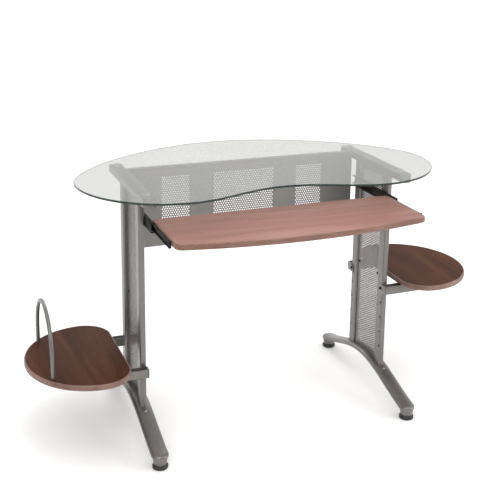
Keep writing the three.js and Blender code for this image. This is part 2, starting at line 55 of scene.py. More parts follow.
# ---------------------------------------------------------- finishes
class Finish:
    """A material on one Principled shader, built up by small steps."""

    def __init__(self, name, **values):
        self.material = bpy.data.materials.new(name)
        self.material.use_nodes = True
        self.tree = self.material.node_tree
        self.shader = self.tree.nodes["Principled BSDF"]
        self.output = self.tree.nodes["Material Output"]
        for key, value in values.items():
            self.shader.inputs[key.replace("_", " ")].default_value = value
        self.height = None

    def node(self, kind, inputs=None, **settings):
        made = self.tree.nodes.new(kind)
        for key, value in settings.items():
            setattr(made, key, value)
        for key, value in (inputs or {}).items():
            if isinstance(value, bpy.types.NodeSocket):
                self.tree.links.new(value, made.inputs[key])
            else:
                made.inputs[key].default_value = value
        return made

    def place(self, scale=(1, 1, 1)):
        where = self.node("ShaderNodeTexCoord").outputs["Object"]
        return self.node("ShaderNodeMapping", {"Vector": where, "Scale": scale}).outputs["Vector"]

    def noise(self, where, scale, detail=4, roughness=0.5, distortion=0.0):
        inputs = {
            "Vector": where,
            "Scale": scale,
            "Detail": detail,
            "Roughness": roughness,
            "Distortion": distortion,
        }
        return self.node("ShaderNodeTexNoise", inputs).outputs["Fac"]

    def ramp(self, factor, *stops):
        made = self.node("ShaderNodeValToRGB", {"Fac": factor})
        elements = made.color_ramp.elements
        while len(elements) < len(stops):
            elements.new(0.5)
        for element, (position, color) in zip(elements, stops):
            element.position = position
            element.color = (*color, 1) if len(color) == 3 else color
        return made.outputs["Color"]

    def span(self, value, low, high, from_low=0.3, from_high=0.7):
        inputs = {
            "Value": value,
            "From Min": from_low,
            "From Max": from_high,
            "To Min": low,
            "To Max": high,
        }
        return self.node("ShaderNodeMapRange", inputs).outputs["Result"]

    def blend(self, factor, first, second, mode="MIX"):
        made = self.node("ShaderNodeMix", data_type="RGBA", blend_type=mode)
        for socket, value in ((0, factor), (6, first), (7, second)):
            if isinstance(value, bpy.types.NodeSocket):
                self.tree.links.new(value, made.inputs[socket])
            else:
                made.inputs[socket].default_value = value
        return made.outputs[2]

    def bump(self, height, strength, distance):
        inputs = {"Height": height, "Strength": strength, "Distance": distance}
        if self.height is not None:
            inputs["Normal"] = self.height
        self.height = self.node("ShaderNodeBump", inputs).outputs["Normal"]
        self.tree.links.new(self.height, self.shader.inputs["Normal"])

    def drive(self, key, socket):
        self.tree.links.new(socket, self.shader.inputs[key])

    def tint(self, pattern, dark, light, dark_at=0.3, light_at=0.7):
        """A base colour that wanders between two shades as a pattern does."""
        self.drive("Base Color", self.ramp(pattern, (dark_at, dark), (light_at, light)))

    def polish(self, pattern, low, high, from_low=0.3, from_high=0.7):
        """A roughness that wanders between two values as a pattern does."""
        self.drive("Roughness", self.span(pattern, low, high, from_low, from_high))


def gray(value, warmth=0.0):
    return (value * (1 + warmth), value, value * (1 - warmth), 1)


def satin_paint():
    """Warm grey powder coat: fine orange peel, faint mottling and a soft metallic lustre."""
    made = Finish("satin_powder_coat", Metallic=0.6, Specular_IOR_Level=0.5)
    where = made.place()
    mottle = made.noise(where, 14, 5, 0.6)
    fleck = made.noise(where, 1900, 2, 0.6)
    shade = made.ramp(mottle, (0.3, gray(0.150, 0.06)), (0.7, gray(0.185, 0.065)))
    made.drive("Base Color", made.blend(made.span(fleck, 0.0, 0.5), shade, gray(0.25, 0.04)))
    made.polish(made.noise(where, 60, 5, 0.6), 0.27, 0.38)
    made.bump(made.noise(where, 620, 3, 0.5), 0.12, 0.00025)
    return made.material


def black_steel():
    """Black coated sheet of the slides and the small screws, drawn along Y."""
    made = Finish("black_coated_steel", Specular_IOR_Level=0.12)
    where = made.place((1, 0.25, 1))
    shade = made.noise(where, 40, 5, 0.6)
    made.tint(shade, (0.017, 0.016, 0.015), (0.030, 0.028, 0.026), light_at=0.75)
    made.polish(made.noise(where, 160, 4), 0.45, 0.62)
    made.bump(made.noise(made.place(), 900, 2), 0.1, 0.0002)
    return made.material


def bright_steel():
    """Zinc-plated steel with fine lines along Y."""
    made = Finish("zinc_plated_steel", Metallic=1.0)
    where = made.place((1, 0.04, 1))
    made.tint(made.noise(where, 300, 4), (0.36, 0.355, 0.345), (0.48, 0.475, 0.46))
    made.polish(made.noise(where, 500, 3), 0.28, 0.45)
    return made.material


def glide_plastic():
    """Matt black plastic with the fine grain of its mould."""
    made = Finish("black_moulded_plastic")
    where = made.place()
    made.tint(made.noise(where, 90, 4), (0.012, 0.012, 0.012), (0.03, 0.029, 0.028))
    made.polish(made.noise(where, 300, 3), 0.38, 0.55)
    made.bump(made.noise(where, 1500, 2), 0.25, 0.0002)
    return made.material


def clear_rubber():
    """Slightly cloudy soft rubber of the glass pads."""
    made = Finish("cloudy_clear_rubber", Transmission_Weight=0.75, IOR=1.38)
    where = made.place()
    made.tint(made.noise(where, 120, 3), (0.74, 0.74, 0.70), (0.86, 0.86, 0.83))
    made.polish(made.noise(where, 200, 3), 0.22, 0.36)
    made.bump(made.noise(where, 700, 2), 0.1, 0.0002)
    return made.material


def see_through(made, tint, ray):
    """Makes a finish clear for one kind of ray only."""
    path = made.node("ShaderNodeLightPath")
    clear = made.node("ShaderNodeBsdfTransparent", {"Color": tint})
    mixed = made.node("ShaderNodeMixShader", {0: path.outputs[ray]})
    made.tree.links.new(made.shader.outputs[0], mixed.inputs[1])
    made.tree.links.new(clear.outputs[0], mixed.inputs[2])
    made.tree.links.new(mixed.outputs[0], made.output.inputs["Surface"])


def pane_glass():
    """Clear float glass. Lamps shine through it, so that what stands under it isn't left dark."""
    made = Finish("clear_pane", Transmission_Weight=1.0, IOR=1.5)
    where = made.place()
    made.tint(made.noise(where, 2.5, 3), (0.562, 0.569, 0.545), (0.582, 0.589, 0.567))
    made.polish(made.noise(where, 22, 5, 0.7), 0.0, 0.003, 0.3, 0.75)
    see_through(made, (0.84, 0.86, 0.84, 1), "Is Shadow Ray")
    return made.material


def glass_edge():
    """The ground and polished rim, where the pane is seen end on and looks deep green."""
    made = Finish("green_pane_edge", Transmission_Weight=0.2, IOR=1.42)
    where = made.place()
    made.tint(made.noise(where, 30, 3), (0.020, 0.040, 0.032), (0.034, 0.060, 0.049))
    made.polish(made.noise(where, 400, 3), 0.06, 0.2)
    made.bump(made.noise(made.place((1, 1, 6)), 500, 2), 0.08, 0.0002)
    return made.material


def mahogany(name, dark, middle, light, roughness, coat, along="X", gloss=0.25):
    """Wood-grain laminate: broad figure, fine streaks along X or Y, and short open pores."""
    made = Finish(name, Coat_Weight=coat, Coat_Roughness=0.35, Specular_IOR_Level=gloss)
    across = "Y" if along == "X" else "X"

    def stretched(length, width):
        return (length, width, width) if along == "X" else (width, length, width)

    wander = made.noise(made.place(stretched(1.1, 5)), 2.0, 3)
    drift = made.node("ShaderNodeVectorMath", {0: made.place(), 1: (0, 0, 0)}, operation="ADD")
    sway = made.node("ShaderNodeCombineXYZ", {across: made.span(wander, -0.012, 0.012)})
    made.tree.links.new(sway.outputs["Vector"], drift.inputs[1])

    def grain(width, size, detail, roughness=0.6, distortion=0.0):
        inputs = {"Vector": drift.outputs["Vector"], "Scale": stretched(1.0, width)}
        where = made.node("ShaderNodeMapping", inputs).outputs["Vector"]
        return made.noise(where, size, detail, roughness, distortion)

    figure = grain(13, 1.6, 5, 0.55, 0.5)
    streaks = grain(42, 6.5, 6, 0.75)
    pores = grain(55, 26, 3, 0.6)
    color = made.ramp(figure, (0.28, dark), (0.5, middle), (0.72, light))
    dark_line, light_line = (0.66, 0.60, 0.58), (1.2, 1.18, 1.16)
    lines = made.ramp(streaks, (0.34, dark_line), (0.5, (1, 1, 1)), (0.66, light_line))
    color = made.blend(0.85, color, lines, "MULTIPLY")
    flecks = made.ramp(pores, (0.30, (0.45, 0.38, 0.35)), (0.42, (1, 1, 1)))
    color = made.blend(0.65, color, flecks, "MULTIPLY")
    made.drive("Base Color", color)
    made.polish(streaks, roughness - 0.06, roughness + 0.07)
    made.bump(pores, 0.10, 0.00025)
    made.bump(streaks, 0.06, 0.0003)
    return made.material


PAINT = satin_paint()
BLACK = black_steel()
STEEL = bright_steel()
PLASTIC = glide_plastic()
RUBBER = clear_rubber()
PANE = pane_glass()
PANE_EDGE = glass_edge()
TRAY_WOOD = mahogany(
    "tray_mahogany",
    dark=(0.277, 0.127, 0.102),
    middle=(0.336, 0.167, 0.136),
    light=(0.389, 0.211, 0.173),
    roughness=0.5,
    coat=0.08,
)
TRAY_EDGE = mahogany(
    "tray_edge_band",
    dark=(0.180, 0.095, 0.068),
    middle=(0.235, 0.130, 0.098),
    light=(0.283, 0.166, 0.128),
    roughness=0.42,
    coat=0.1,
)
# Shelf tops: a dark laminate whose colours also hold painted shade, as if shaded by the things the
# shelves carry, so they read far darker than the tray.
SHELF_WOOD_PAINTED_SHADE = mahogany(
    "shelf_mahogany_painted_shade",
    dark=(0.038, 0.012, 0.005),
    middle=(0.066, 0.022, 0.010),
    light=(0.094, 0.034, 0.016),
    roughness=0.62,
    coat=0.0,
    along="Y",
    gloss=0.1,
)
SHELF_EDGE = mahogany(
    "shelf_edge_band",
    dark=(0.173, 0.098, 0.078),
    middle=(0.237, 0.142, 0.118),
    light=(0.300, 0.185, 0.158),
    roughness=0.45,
    coat=0.06,
    along="Y",
)


# ---------------------------------------------------------- mesh building
class Build:
    """Collects vertices and faces of one piece; faces carry a material number."""

    def __init__(self):
        self.vertices = []
        self.faces = []
        self.slots = []
        self.flat = []
        self.known = {}

    def point(self, where):
        """A vertex that is shared by all faces that ask for the same place."""
        key = tuple(round(value * 1e7) for value in where)
        if key not in self.known:
            self.known[key] = len(self.vertices)
            self.vertices.append(tuple(where))
        return self.known[key]

    def face(self, corners, slot=0):
        self.faces.append(tuple(corners))
        self.slots.append(slot)

    def ring(self, places):
        first = len(self.vertices)
        self.vertices.extend(tuple(place) for place in places)
        return list(range(first, first + len(places)))

    def bridge(self, lower, upper, slot=0):
        count = len(lower)
        for at in range(count):
            after = (at + 1) % count
            self.face((lower[at], lower[after], upper[after], upper[at]), slot)

    def loft(self, rings, side_slot=0, cap_slot=0, closed=False):
        """Joins rings of points into a skin, capped with flat faces or closed on itself."""
        made = [self.ring(places) for places in rings]
        for lower, upper in zip(made, made[1:]):
            self.bridge(lower, upper, side_slot)
        if closed:
            self.bridge(made[-1], made[0], side_slot)
            return
        self.flat += [len(self.faces), len(self.faces) + 1]
        self.face(reversed(made[0]), cap_slot)
        self.face(made[-1], cap_slot)

    def finish(self, name, materials, sharp=32, smooth=True):
        mesh = bpy.data.meshes.new(name)
        mesh.from_pydata(self.vertices, [], self.faces)
        for material in materials:
            mesh.materials.append(material)
        mesh.polygons.foreach_set("material_index", self.slots)
        edit = bmesh.new()
        edit.from_mesh(mesh)
        bmesh.ops.recalc_face_normals(edit, faces=edit.faces)
        edit.to_mesh(mesh)
        edit.free()
        shade(mesh, sharp, smooth)
        for face in self.flat:
            mesh.polygons[face].use_smooth = False
        piece = bpy.data.objects.new(name, mesh)
        bpy.context.scene.collection.objects.link(piece)
        return piece


def skin(name, rings, material, sharp=32, closed=False):
    """A piece made of one skin over rings of points."""
    build = Build()
    build.loft(rings, closed=closed)
    return build.finish(name, [material], sharp)


def shade(mesh, sharp, smooth=True):
    mesh.polygons.foreach_set("use_smooth", [smooth] * len(mesh.polygons))
    if smooth:
        mesh.set_sharp_from_angle(angle=math.radians(sharp))
    mesh.update()


def stand_for(piece, body, slot, *nodes):
    """Ties a piece to its body and hides the CAD nodes that it replaces. The slot is not used."""
    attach(piece, body)
    if nodes:
        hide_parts(*nodes)


def painted(piece, node):
    stand_for(piece, FRAME, "satin_paint", node)


def bake_modifiers(piece, sharp=32, smooth=True):
    """Applies the modifiers, so that the mesh is the finished one."""
    shown = piece.evaluated_get(bpy.context.evaluated_depsgraph_get())
    mesh = bpy.data.meshes.new_from_object(shown)
    piece.modifiers.clear()
    piece.data = mesh
    shade(mesh, sharp, smooth)


def soften(piece, width):
    bevel = piece.modifiers.new("soften", "BEVEL")
    bevel.width = width
    bevel.segments = 2
    bevel.limit_method = "ANGLE"
    bevel.angle_limit = math.radians(40)
    bake_modifiers(piece)


def cut(piece, cutter):
    difference = piece.modifiers.new("cut", "BOOLEAN")
    difference.operation = "DIFFERENCE"
    difference.solver = "EXACT"
    difference.object = cutter
    bake_modifiers(piece)
    bpy.data.objects.remove(cutter, do_unlink=True)


# ---------------------------------------------------------- outlines and rings
QUARTER = math.pi / 2


def turns(count):
    return [2 * math.pi * at / count for at in range(count)]


def polar(x, y, radius, angle):
    return (x + radius * math.cos(angle), y + radius * math.sin(angle))


def circle(radius, count, x=0.0, y=0.0):
    return [polar(x, y, radius, angle) for angle in turns(count)]


def rounded_rectangle(width, height, radius, steps, x, y):
    points = []
    for quarter, (side_x, side_y) in enumerate(((1, 1), (-1, 1), (-1, -1), (1, -1))):
        middle_x = x + side_x * (width / 2 - radius)
        middle_y = y + side_y * (height / 2 - radius)
        for step in range(steps + 1):
            points.append(polar(middle_x, middle_y, radius, (quarter + step / steps) * QUARTER))
    return points


def bezier(start, first, second, end, steps):
    points = []
    for step in range(steps):
        t = step / steps
        s = 1 - t
        weights = (s ** 3, 3 * s * s * t, 3 * s * t * t, t ** 3)
        corners = (start, first, second, end)
        points.append(tuple(sum(w * c[axis] for w, c in zip(weights, corners)) for axis in (0, 1)))
    return points


def arc(centre, radius_x, radius_y, start, end, steps):
    x, y = centre
    points = []
    for step in range(steps):
        angle = start + (end - start) * step / steps
        points.append((x + radius_x * math.cos(angle), y + radius_y * math.sin(angle)))
    return points


def inset(outline, distance):
    """The outline moved inwards, point by point, for a counterclockwise outline."""
    if distance == 0:
        return list(outline)
    moved = []
    count = len(outline)
    for at, (x, y) in enumerate(outline):
        before = Vector(outline[at - 1])
        after = Vector(outline[(at + 1) % count])
        along = (after - before).normalized()
        moved.append((x - along.y * distance, y + along.x * distance))
    return moved


def lift(outline, z):
    return [(x, y, z) for x, y in outline]


def quarter_steps(steps):
    return [step / steps * QUARTER for step in range(steps + 1)]


def rounded_top(outline, high, rounding, steps=5):
    """Rings that round an outline's upper edge."""
    rings = []
    for angle in quarter_steps(steps):
        z = high - rounding + rounding * math.sin(angle)
        rings.append(lift(inset(outline, rounding * (1 - math.cos(angle))), z))
    return rings


def rounded_bottom(outline, low, rounding, steps=5, widest=None):
    """Rings that round an outline's lower edge; widest limits how far they draw in."""
    rings = []
    for angle in quarter_steps(steps):
        z = low + rounding * (1 - math.cos(angle))
        rings.append(lift(inset(outline, (widest or rounding) * (1 - math.sin(angle))), z))
    return rings


def slab(name, outline, low, high, materials, rounds=(2.5 * MM, 4 * MM), steps=5):
    """A flat board or pane with rounded edges. Its sides take the second material."""
    rings = rounded_bottom(outline, low.z, rounds[0], steps)
    rings += rounded_top(outline, high.z, rounds[1], steps)
    build = Build()
    build.loft(rings, 1, 0)
    return build.finish(name, materials, sharp=50)


def turned(profile, x, y, count=40):
    """Rings of a turned shape about a vertical axis, from (radius, z) points, bottom to top."""
    return [lift(circle(radius, count, x, y), z) for radius, z in profile]


def section_along_x(section, low_x, high_x):
    return [[(x, y, z) for y, z in section] for x in (low_x, high_x)]


def section_along_y(section, low_y, high_y):
    return [[(x, y, z) for x, z in section] for y in (low_y, high_y)]


def section_along_z(section, low_z, high_z):
    return [lift(section, z) for z in (low_z, high_z)]


def mirrored(points, sign):
    return [(sign * x, *rest) for x, *rest in points]


def middle(node):
    low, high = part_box(node)
    return (low + high) / 2


def sideways(low, high, sign):
    """How near to and how far from the middle of the desk a box reaches, on its own side."""
    return (low.x, high.x) if sign > 0 else (-high.x, -low.x)


# ---------------------------------------------------------- camera, lights and floor
def camera():
    """From the front left and a little above the glass, with the desk low in the frame."""
    azimuth, elevation, roll = (math.radians(value) for value in (22.43, 13.39, 0.98))
    target = Vector((0.0191, 0.0235, 0.8235))
    distance = 2.892
    back = Vector((
        -math.sin(azimuth) * math.cos(elevation),
        -math.cos(azimuth) * math.cos(elevation),
        math.sin(elevation),
    ))
    right = Vector((math.cos(azimuth), -math.sin(azimuth), 0))
    up = back.cross(right)
    x_axis = right * math.cos(roll) + up * math.sin(roll)
    y_axis = up * math.cos(roll) - right * math.sin(roll)
    data = bpy.data.cameras.new("camera")
    data.sensor_width = 36
    data.lens = 68.6
    data.shift_x = -0.03
    data.shift_y = -0.2
    data.clip_end = 200
    made = bpy.data.objects.new("camera", data)
    bpy.context.scene.collection.objects.link(made)
    basis = Matrix((x_axis, y_axis, back)).transposed().to_4x4()
    made.matrix_world = Matrix.Translation(target + back * distance) @ basis
    bpy.context.scene.camera = made


def area_light(name, place, aim, size, power):
    data = bpy.data.lights.new(name, "AREA")
    data.shape = "RECTANGLE"
    data.size, data.size_y = size
    data.energy = power
    made = bpy.data.objects.new(name, data)
    made.location = place
    made.rotation_euler = (Vector(aim) - Vector(place)).to_track_quat("-Z", "Y").to_euler()
    bpy.context.scene.collection.objects.link(made)


def studio():
    """Even light from a white surround and four lamps. Two dark cloths, in front and on the
    left, keep upright faces darker than level ones."""
    scene = bpy.context.scene
    scene.view_settings.view_transform = "Standard"
    world = bpy.data.worlds.new("studio")
    world.use_nodes = True
    background = world.node_tree.nodes["Background"]
    background.inputs["Color"].default_value = (1, 1, 1, 1)
    background.inputs["Strength"].default_value = 1.02
    scene.world = world
    floor = Build()
    reach = 60
    corners = ((-reach, -reach, 0), (reach, -reach, 0), (reach, reach, 0), (-reach, reach, 0))
    floor.face(floor.ring(corners))
    floor.finish("floor", [floor_finish()], smooth=False)
    card("front_card", (-3.6, -4.3), (4.6, -5.2), 0.5, 4.2, 0.02)
    card("left_card", (-5.0, -3.0), (-5.0, 3.0), 0.2, 3.0, 0.10)
    area_light("key", (-2.2, -3.0, 3.2), (0, 0, 0.5), (2.4, 1.8), 46)
    area_light("fill", (3.2, -2.2, 2.0), (0, 0, 0.5), (2.2, 2.2), 46)
    area_light("rim", (0.8, 3.2, 2.8), (0, 0, 0.6), (3.0, 1.2), 24)
    area_light("top", (0.1, -0.9, 3.4), (0, -0.2, 0), (2.6, 2.6), 32)


def card(name, start, end, low, high, tone):
    """An upright cloth that darkens the faces turned to it, and that the pane doesn't mirror."""
    cloth = Finish(f"{name}_cloth", Base_Color=gray(tone), Roughness=0.9, Specular_IOR_Level=0.1)
    see_through(cloth, (1, 1, 1, 1), "Is Singular Ray")
    build = Build()
    build.face(build.ring([(*start, low), (*end, low), (*end, high), (*start, high)]))
    plane = build.finish(name, [cloth.material], smooth=False)
    plane.visible_camera = False
    plane.visible_transmission = False
    plane.visible_shadow = False


def floor_finish():
    """Plain pale floor, which gives off a little light of its own, so it stays white."""
    made = Finish(
        "pale_floor",
        Specular_IOR_Level=0.1,
        Roughness=0.8,
        Emission_Color=gray(1.0),
        Emission_Strength=0.1,
    )
    made.tint(made.noise(made.place(), 1.2, 3), (0.93, 0.93, 0.925), (0.95, 0.95, 0.945))
    return made.material


# ---------------------------------------------------------- glass top and its pads
def kidney(low, high):
    """The top's outline, counterclockwise from the middle of its rear edge."""
    x = (low.x + high.x) / 2
    half = (high.x - low.x) / 2
    rear = (0, high.y)
    side = (-half, low.y + 267 * MM)
    lobe = (-294 * MM, low.y)
    scoop = (0, low.y + 73 * MM)
    left = [
        (rear, (-270 * MM, rear[1]), (side[0], side[1] + 160 * MM), side),
        (side, (side[0], side[1] - 147 * MM), (lobe[0] - 144 * MM, lobe[1]), lobe),
        (lobe, (lobe[0] + 104 * MM, lobe[1]), (-114 * MM, scoop[1]), scoop),
    ]
    right = [tuple((-px, py) for px, py in reversed(curve)) for curve in reversed(left)]
    points = []
    for curve in left + right:
        points.extend(bezier(*curve, 36))
    return [(x + px, py) for px, py in points]


def glass_top():
    low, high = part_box("glass_top")
    rounds = (1.3 * MM, 1.3 * MM)
    piece = slab("glass_pane", kidney(low, high), low, high, [PANE, PANE_EDGE], rounds, 4)
    stand_for(piece, FRAME, "glass", "glass_top")


def glass_pads():
    """Four soft pads, hollow in the middle, each with the screw that holds it to the rail."""
    for side, _, end, _ in CORNERS:
        node = f"glass_pad_{side}_{end}"
        low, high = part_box(node)
        centre = (low + high) / 2
        radius = (high.x - low.x) / 2 * 0.72
        pad = [
            (0.3, low.z),
            (0.96, low.z),
            (1, low.z + 0.4 * MM),
            (1, low.z + 1.6 * MM),
            (0.93, low.z + 2.6 * MM),
            (0.88, high.z - 1 * MM),
            (0.84, high.z - 0.3 * MM),
            (0.78, high.z),
            (0.42, high.z),
            (0.38, high.z - 0.5 * MM),
            (0.36, low.z + 2 * MM),
            (0.3, low.z + 2 * MM),
        ]
        rings = turned([(radius * share, z) for share, z in pad], centre.x, centre.y)
        stand_for(skin(f"pad_{side}_{end}", rings, RUBBER), FRAME, "clear_rubber", node)
        head = [(0.32, 2.1), (0.32, 2.9), (0.24, 3.8), (0.08, 4.1)]
        profile = [(radius * share, low.z + rise * MM) for share, rise in head]
        rings = turned(profile, centre.x, centre.y, 24)
        stand_for(skin(f"pad_screw_{side}_{end}", rings, STEEL), FRAME, "bright_steel")


# ---------------------------------------------------------- feet, cups and glides
FOOT_RISE = 75 * MM
FOOT_WAVE = 345 * MM
FOOT_HALF_THICKNESS = 9.5 * MM


def foot_place(side):
    """A foot's box, its middle, and the height of its middle line at the two ends."""
    low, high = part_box(f"foot_{side}")
    return low, high, (low + high) / 2, high.z - FOOT_HALF_THICKNESS - FOOT_RISE


def foot_line(y, base_z):
    """Height and slope of a foot's middle line, at a distance y from the middle of the leg."""
    phase = math.pi * y / FOOT_WAVE
    height = base_z + FOOT_RISE * (1 + math.cos(phase)) / 2
    slope = -FOOT_RISE * math.pi / (2 * FOOT_WAVE) * math.sin(phase)
    return height, slope


def superellipse(count, power):
    def bulge(value):
        return math.copysign(abs(value) ** (2 / power), value)

    return [(bulge(math.cos(angle)), bulge(math.sin(angle))) for angle in turns(count)]


def feet():
    """Arched beams of a flattened oval section, with rounded tips."""
    tip = 26 * MM
    steps = 96
    section = superellipse(40, 2.35)
    for side, _ in SIDES:
        low, high, centre, base_z = foot_place(side)
        half_width = (high.x - low.x) / 2
        half_length = (high.y - low.y) / 2 + 5 * MM
        rings = []
        for step in range(steps + 1):
            y = -math.cos(math.pi * step / steps) * half_length
            width = thickness = 1.0
            past = abs(y) - (half_length - tip)
            if past > 0:
                width = math.sqrt(max(1 - (past / tip) ** 2, 0.0004))
                thickness = max(1 - (past / tip) ** 6, 0.0004) ** 0.5
            height, slope = foot_line(y, base_z)
            lean = math.atan(slope)
            ring = []
            for across, up in section:
                rise = up * FOOT_HALF_THICKNESS * thickness
                ring.append((
                    centre.x + across * half_width * width,
                    centre.y + y - rise * math.sin(lean),
                    height + rise * math.cos(lean),
                ))
            rings.append(ring)
        painted(skin(f"foot_beam_{side}", rings, PAINT, sharp=60), f"foot_{side}")


def cups_and_glides():
    """Under each foot end: a flared cup, and a levelling foot with a moulded rim."""
    for side, _, end, _ in CORNERS:
        corner = f"{side}_{end}"
        low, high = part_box(f"foot_cup_{corner}")
        centre = middle(f"leveling_glide_{corner}")
        radius = (high.x - low.x) / 2
        cup = [
            (0.55, 0), (0.84, 0), (0.88, 0.5), (0.89, 1.6), (0.87, 2.4), (0.89, 3.4),
            (0.95, 9), (0.985, 14), (1, 18), (0.97, 21), (0.6, 22),
        ]
        profile = [(radius * share, low.z + rise * MM) for share, rise in cup]
        rings = turned(profile, centre.x, centre.y)
        painted(skin(f"cup_{corner}", rings, PAINT, sharp=45), f"foot_cup_{corner}")

        glide_low, glide_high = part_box(f"leveling_glide_{corner}")
        radius = (glide_high.x - glide_low.x) / 2
        shoulder = low.z - 0.3 * MM
        rim = [
            (0.3, 0), (0.84, 0), (0.92, 0.6), (0.975, 2.0), (1, 4.2), (1, 7.4),
            (0.985, 8.2), (0.955, 8.5), (0.955, 9.3), (0.93, 10.6), (0.86, 12.2),
        ]
        stud = 4.2 * MM
        profile = [(radius * share, rise * MM) for share, rise in rim]
        profile += [(radius * 0.78, shoulder), (stud, shoulder)]
        profile += [(stud, glide_high.z), (2.5 * MM, glide_high.z)]
        piece = skin(f"glide_{corner}", turned(profile, centre.x, centre.y, 48), PLASTIC, sharp=40)
        stand_for(piece, f"{corner}_glide", "black_plastic", f"leveling_glide_{corner}")


# ---------------------------------------------------------- leg frames
SHELF_HOLES = 5
SHELF_HOLE_PITCH = 50 * MM
LOWEST_SHELF_HOLE = 165 * MM


def posts():
    """Rounded rectangular tubes with a row of shelf holes in their inner faces."""
    corner = 5 * MM
    wall = 1.6 * MM
    for side, sign, end, along in CORNERS:
        node = f"post_{side}_{end}"
        low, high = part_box(node)
        centre = (low + high) / 2
        width, depth = high.x - low.x, high.y - low.y
        outer = rounded_rectangle(width, depth, corner, 8, centre.x, centre.y)
        hollow = (width - 2 * wall, depth - 2 * wall, corner - wall)
        inner = rounded_rectangle(*hollow, 8, centre.x, centre.y)
        levels = ((outer, low.z), (outer, high.z), (inner, high.z), (inner, low.z))
        rings = [lift(ring, z) for ring, z in levels]
        piece = skin(f"leg_post_{side}_{end}", rings, PAINT, closed=True)
        face_x = centre.x - sign * width / 2
        hole_y = centre.y + along * (depth / 2 - 8 * MM)
        drill = Build()
        for row in range(SHELF_HOLES):
            hole = circle(4 * MM, 20, hole_y, LOWEST_SHELF_HOLE + SHELF_HOLE_PITCH * row)
            drill.loft(section_along_x(hole, face_x - 8 * MM, face_x + 8 * MM))
        cut(piece, drill.finish("drill", [PAINT]))
        painted(piece, node)


def top_rails():
    """Inverted channels with rounded ends and edges, open below."""
    for side, _ in SIDES:
        node = f"top_rail_{side}"
        low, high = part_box(node)
        centre = (low + high) / 2
        size = high - low
        wall = 3 * MM
        outer = rounded_rectangle(size.x, size.y, 8 * MM, 8, centre.x, centre.y)
        hollow = (size.x - 2 * wall, size.y - 2 * wall, 5 * MM)
        inner = rounded_rectangle(*hollow, 8, centre.x, centre.y)
        edge = 0.6 * MM
        rings = [lift(inner, high.z - wall), lift(inner, low.z)]
        rings += [lift(inset(outer, edge), low.z), lift(outer, low.z + edge)]
        rings += rounded_top(outer, high.z, 2.2 * MM)
        painted(skin(f"leg_rail_{side}", rings, PAINT), node)


# ---------------------------------------------------------- perforated sheets
HOLE_PITCH = 7.8 * MM
HOLE_RADIUS = 2.25 * MM
HOLE_SIDES = 12


def perforated(build, window, to_world):
    """Fills a window with round holes in staggered rows. Gives back the window's edge as four
    runs of places, each counterclockwise: bottom, right, top and left."""
    left, right, bottom, top = window
    columns = round((right - left) / HOLE_PITCH)
    pitch = (right - left) / columns
    rows = round((top - bottom) / (HOLE_PITCH * math.sqrt(3) / 2))
    height = (top - bottom) / rows

    def vertex(u, v):
        return build.point(to_world(u, v))

    def stitch(outer, hole, centre):
        """Joins a cell's edge to its hole with triangles, going round once."""
        def angle(place):
            return math.atan2(place[1] - centre[1], place[0] - centre[0]) % (2 * math.pi)

        outer_ids = [vertex(*place) for place in outer]
        hole_ids = [vertex(*place) for place in hole]
        outer_turn = [angle(place) for place in outer]
        hole_turn = [angle(place) for place in hole] + [2 * math.pi]
        a = b = 0
        while a < len(outer) or b < len(hole):
            now_outer = outer_ids[(a - 1) % len(outer)]
            now_hole = hole_ids[b % len(hole)]
            if b < len(hole) and (a >= len(outer) or hole_turn[b + 1] <= outer_turn[a]):
                build.face((now_hole, now_outer, hole_ids[(b + 1) % len(hole)]))
                b += 1
            else:
                build.face((now_outer, outer_ids[a % len(outer)], now_hole))
                a += 1

    def cell(u, v):
        edge = ((1, 1), (0, 1), (-1, 1), (-1, -1), (0, -1), (1, -1))
        outer = [(u + a * pitch / 2, v + b * height / 2) for a, b in edge]
        stitch(outer, [(u + a, v + b) for a, b in circle(HOLE_RADIUS, HOLE_SIDES)], (u, v))

    for row in range(rows):
        low = bottom + row * height
        odd = row % 2
        for column in range(columns - odd):
            cell(left + (column + 0.5 + odd / 2) * pitch, low + height / 2)
        for start in (left, right - pitch / 2) if odd else ():
            end = start + pitch / 2
            corners = ((start, low), (end, low), (end, low + height), (start, low + height))
            build.face([vertex(*place) for place in corners])
    across = [left + step * pitch / 2 for step in range(2 * columns + 1)]
    upward = [bottom + step * height for step in range(rows + 1)]
    return (
        [(u, bottom) for u in across],
        [(right, v) for v in upward],
        [(u, top) for u in reversed(across)],
        [(left, v) for v in reversed(upward)],
    )


def sheet_region(build, outside, window, to_world):
    """A plain rectangle of sheet round one perforated window."""
    left, right, bottom, top = outside
    corners = [(left, bottom), (right, bottom), (right, top), (left, top)]
    for at, run in enumerate(perforated(build, window, to_world)):
        border = [corners[at], corners[(at + 1) % 4], *reversed(run)]
        build.face([build.point(to_world(*place)) for place in border])


def thicken(piece, thickness):
    solid = piece.modifiers.new("thicken", "SOLIDIFY")
    solid.thickness = thickness
    solid.offset = 0
    bake_modifiers(piece, smooth=False)


def side_panels():
    """Thin sheets between the posts, perforated over most of their height, with upright rows."""
    border = 7.5 * MM
    for side, _ in SIDES:
        node = f"side_panel_{side}"
        low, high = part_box(node)
        x = (low.x + high.x) / 2
        outside = (low.z, high.z, low.y, high.y)
        window = (124 * MM, 722 * MM, low.y + border, high.y - border)
        build = Build()
        sheet_region(build, outside, window, lambda u, v: (x, v, u))
        piece = build.finish(f"leg_panel_{side}", [PAINT], smooth=False)
        thicken(piece, high.x - low.x)
        painted(piece, node)


